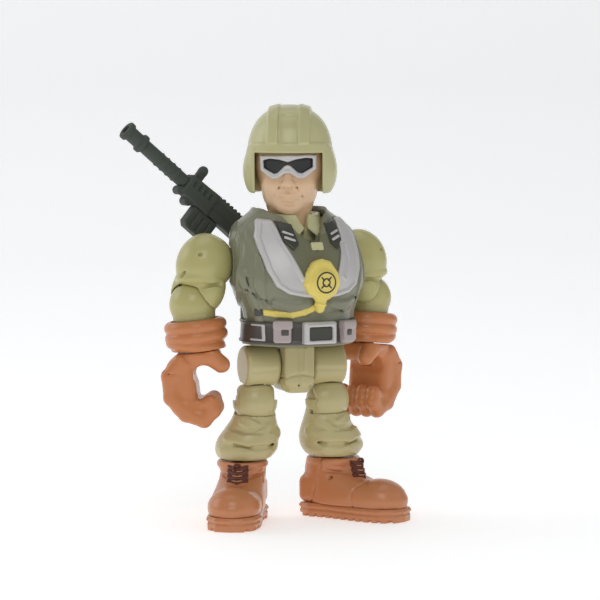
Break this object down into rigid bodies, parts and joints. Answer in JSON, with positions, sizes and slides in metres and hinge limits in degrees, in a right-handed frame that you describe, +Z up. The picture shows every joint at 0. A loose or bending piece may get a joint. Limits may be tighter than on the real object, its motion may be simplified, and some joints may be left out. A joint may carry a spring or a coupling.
{
  "type": "action figure",
  "caption": "Posable plastic flyer figure in helmet, goggles, vest, gauntlets and boots, with a breathing mask on the chest and a rifle clipped to the backpack.",
  "frame": {"origin": "on the floor under the middle of the whole figure's bounding box, close to the waist axis", "axes": "+Z up along the figure, the figure faces -Y, its own left is +X"},
  "size_m": [0.0874, 0.0502, 0.127],
  "materials": {
    "skin": "satin moulded plastic",
    "helmet_khaki": "glossy moulded plastic",
    "shirt_olive": "glossy moulded plastic",
    "collar_olive": "glossy moulded plastic",
    "trousers_khaki": "glossy moulded plastic",
    "vest_green": "glossy moulded plastic",
    "glove_orange": "glossy moulded plastic",
    "boot_brown": "glossy moulded plastic",
    "silver_paint": "silver paint",
    "mask_yellow": "glossy paint",
    "badge_black": "printed disc",
    "belt_black": "black paint",
    "pouch_mauve": "grey paint",
    "pack_dark": "dark moulded plastic",
    "lens_black": "gloss black paint",
    "rifle_black": "satin black plastic",
    "dark_plastic": "moulded plastic",
    "steel_pin": "plain pin"
  },
  "bodies": {
    "torso": {"torso_front": "vest_green", "torso_back": "vest_green", "vest_front": "vest_green", "vest_back": "vest_green", "chest_panel": "silver_paint", "chest_rivets": "dark_plastic", "shoulder_buckles": "dark_plastic", "shirt_collar": "collar_olive", "neck_peg": "dark_plastic", "mask_cup": "mask_yellow", "mask_badge": "badge_black", "mask_hose": "mask_yellow", "mask_strap": "mask_yellow", "belt": "belt_black", "belt_buckle": "silver_paint", "belt_pouches": "pouch_mauve", "backpack": "pack_dark"},
    "head_group": {"head": "skin", "helmet": "helmet_khaki", "goggle_frame": "silver_paint", "goggle_lens": "lens_black"},
    "hips": {"pelvis": "trousers_khaki", "hip_axle": "steel_pin"},
    "rifle": {"rifle_receiver": "rifle_black", "rifle_barrel": "rifle_black", "rifle_muzzle": "rifle_black", "rifle_magazine": "rifle_black", "rifle_stock": "rifle_black", "rifle_sights": "rifle_black"},
    "clip": {"rifle_clip": "pack_dark"},
    "left_thigh_group": {"left_thigh": "trousers_khaki"},
    "left_shin_group": {"left_shin": "trousers_khaki", "left_knee_pad": "trousers_khaki", "left_knee_pin": "steel_pin"},
    "left_boot_group": {"left_boot": "boot_brown", "left_boot_sole": "boot_brown", "left_boot_laces": "boot_brown"},
    "left_shoulder": {"left_shoulder_peg": "dark_plastic"},
    "left_arm": {"left_upper_arm": "shirt_olive"},
    "left_forearm_group": {"left_forearm": "shirt_olive", "left_elbow_pin": "steel_pin"},
    "left_hand": {"left_glove_cuff": "glove_orange", "left_glove": "glove_orange"},
    "right_thigh_group": {"right_thigh": "trousers_khaki"},
    "right_shin_group": {"right_shin": "trousers_khaki", "right_knee_pad": "trousers_khaki", "right_knee_pin": "steel_pin"},
    "right_boot_group": {"right_boot": "boot_brown", "right_boot_sole": "boot_brown", "right_boot_laces": "boot_brown"},
    "right_shoulder": {"right_shoulder_peg": "dark_plastic"},
    "right_arm": {"right_upper_arm": "shirt_olive"},
    "right_forearm_group": {"right_forearm": "shirt_olive", "right_elbow_pin": "steel_pin"},
    "right_hand": {"right_glove_cuff": "glove_orange", "right_glove": "glove_orange"}
  },
  "joints": [
    {"name": "neck_turn", "type": "hinge", "parent": "torso", "child": "head_group", "pos_m": [0.00225, -0.00112, 0.089], "axis": [0, 0, 1], "range_deg": [-45, 75]},
    {"name": "waist_turn", "type": "hinge", "parent": "torso", "child": "hips", "pos_m": [0.00225, -0.00362, 0.0546], "axis": [0, 0, 1], "range_deg": [-22, 38]},
    {"name": "left_hip_swing", "type": "hinge", "parent": "hips", "child": "left_thigh_group", "pos_m": [0.01236, -0.00353, 0.0475], "axis": [-0.9903, 0.1392, 0], "range_deg": [-12, 80]},
    {"name": "left_knee_bend", "type": "hinge", "parent": "left_thigh_group", "child": "left_shin_group", "pos_m": [0.01396, -0.00224, 0.0364], "axis": [0.9945, 0.1045, 0], "range_deg": [0, 72]},
    {"name": "left_boot_turn", "type": "hinge", "parent": "left_shin_group", "child": "left_boot_group", "pos_m": [0.01748, -0.00021, 0.0185], "axis": [0, 0, 1], "range_deg": [-34, 31]},
    {"name": "left_shoulder_swing", "type": "hinge", "parent": "torso", "child": "left_shoulder", "pos_m": [0.02775, 0.00438, 0.079], "axis": [-1, 0, 0], "range_deg": [-3, 90]},
    {"name": "left_shoulder_raise", "type": "hinge", "parent": "left_shoulder", "child": "left_arm", "pos_m": [0.02775, 0.00438, 0.079], "axis": [0, -1, 0], "range_deg": [0, 55]},
    {"name": "left_elbow_bend", "type": "hinge", "parent": "left_arm", "child": "left_forearm_group", "pos_m": [0.0323, 0.00438, 0.0665], "axis": [-0.5, 0.866, 0], "range_deg": [-26, 1.5]},
    {"name": "left_wrist_turn", "type": "hinge", "parent": "left_forearm_group", "child": "left_hand", "pos_m": [0.0323, 0.00438, 0.0665], "axis": [-0.0995, -0.0575, -0.9934], "range_deg": [-42, 26]},
    {"name": "right_hip_swing", "type": "hinge", "parent": "hips", "child": "right_thigh_group", "pos_m": [-0.00744, -0.00074, 0.0475], "axis": [0.9903, -0.1392, 0], "range_deg": [-80, 12]},
    {"name": "right_knee_bend", "type": "hinge", "parent": "right_thigh_group", "child": "right_shin_group", "pos_m": [-0.00862, 0.00094, 0.0364], "axis": [0.9272, -0.3746, 0], "range_deg": [0, 72]},
    {"name": "right_boot_turn", "type": "hinge", "parent": "right_shin_group", "child": "right_boot_group", "pos_m": [-0.01144, 0.00386, 0.0185], "axis": [0, 0, -1], "range_deg": [-40, 25]},
    {"name": "right_shoulder_swing", "type": "hinge", "parent": "torso", "child": "right_shoulder", "pos_m": [-0.02325, 0.00438, 0.079], "axis": [-1, 0, 0], "range_deg": [-20, 90]},
    {"name": "right_shoulder_raise", "type": "hinge", "parent": "right_shoulder", "child": "right_arm", "pos_m": [-0.02325, 0.00438, 0.079], "axis": [0, 1, 0], "range_deg": [0, 55]},
    {"name": "right_elbow_bend", "type": "hinge", "parent": "right_arm", "child": "right_forearm_group", "pos_m": [-0.0278, 0.00438, 0.0665], "axis": [-0.5, -0.866, 0], "range_deg": [-26, 1.5]},
    {"name": "right_wrist_turn", "type": "hinge", "parent": "right_forearm_group", "child": "right_hand", "pos_m": [-0.0278, 0.00438, 0.0665], "axis": [-0.0995, 0.0575, 0.9934], "range_deg": [-42, 26]},
    {"name": "clip_turn", "type": "hinge", "parent": "torso", "child": "clip", "pos_m": [0.00225, 0.01498, 0.082], "axis": [0, 1, 0], "range_deg": [-10, 8]},
    {"name": "rifle_off", "type": "slide", "parent": "clip", "child": "rifle", "axis": [0, 1, 0], "range_m": [0, 0.03]}
  ]
}
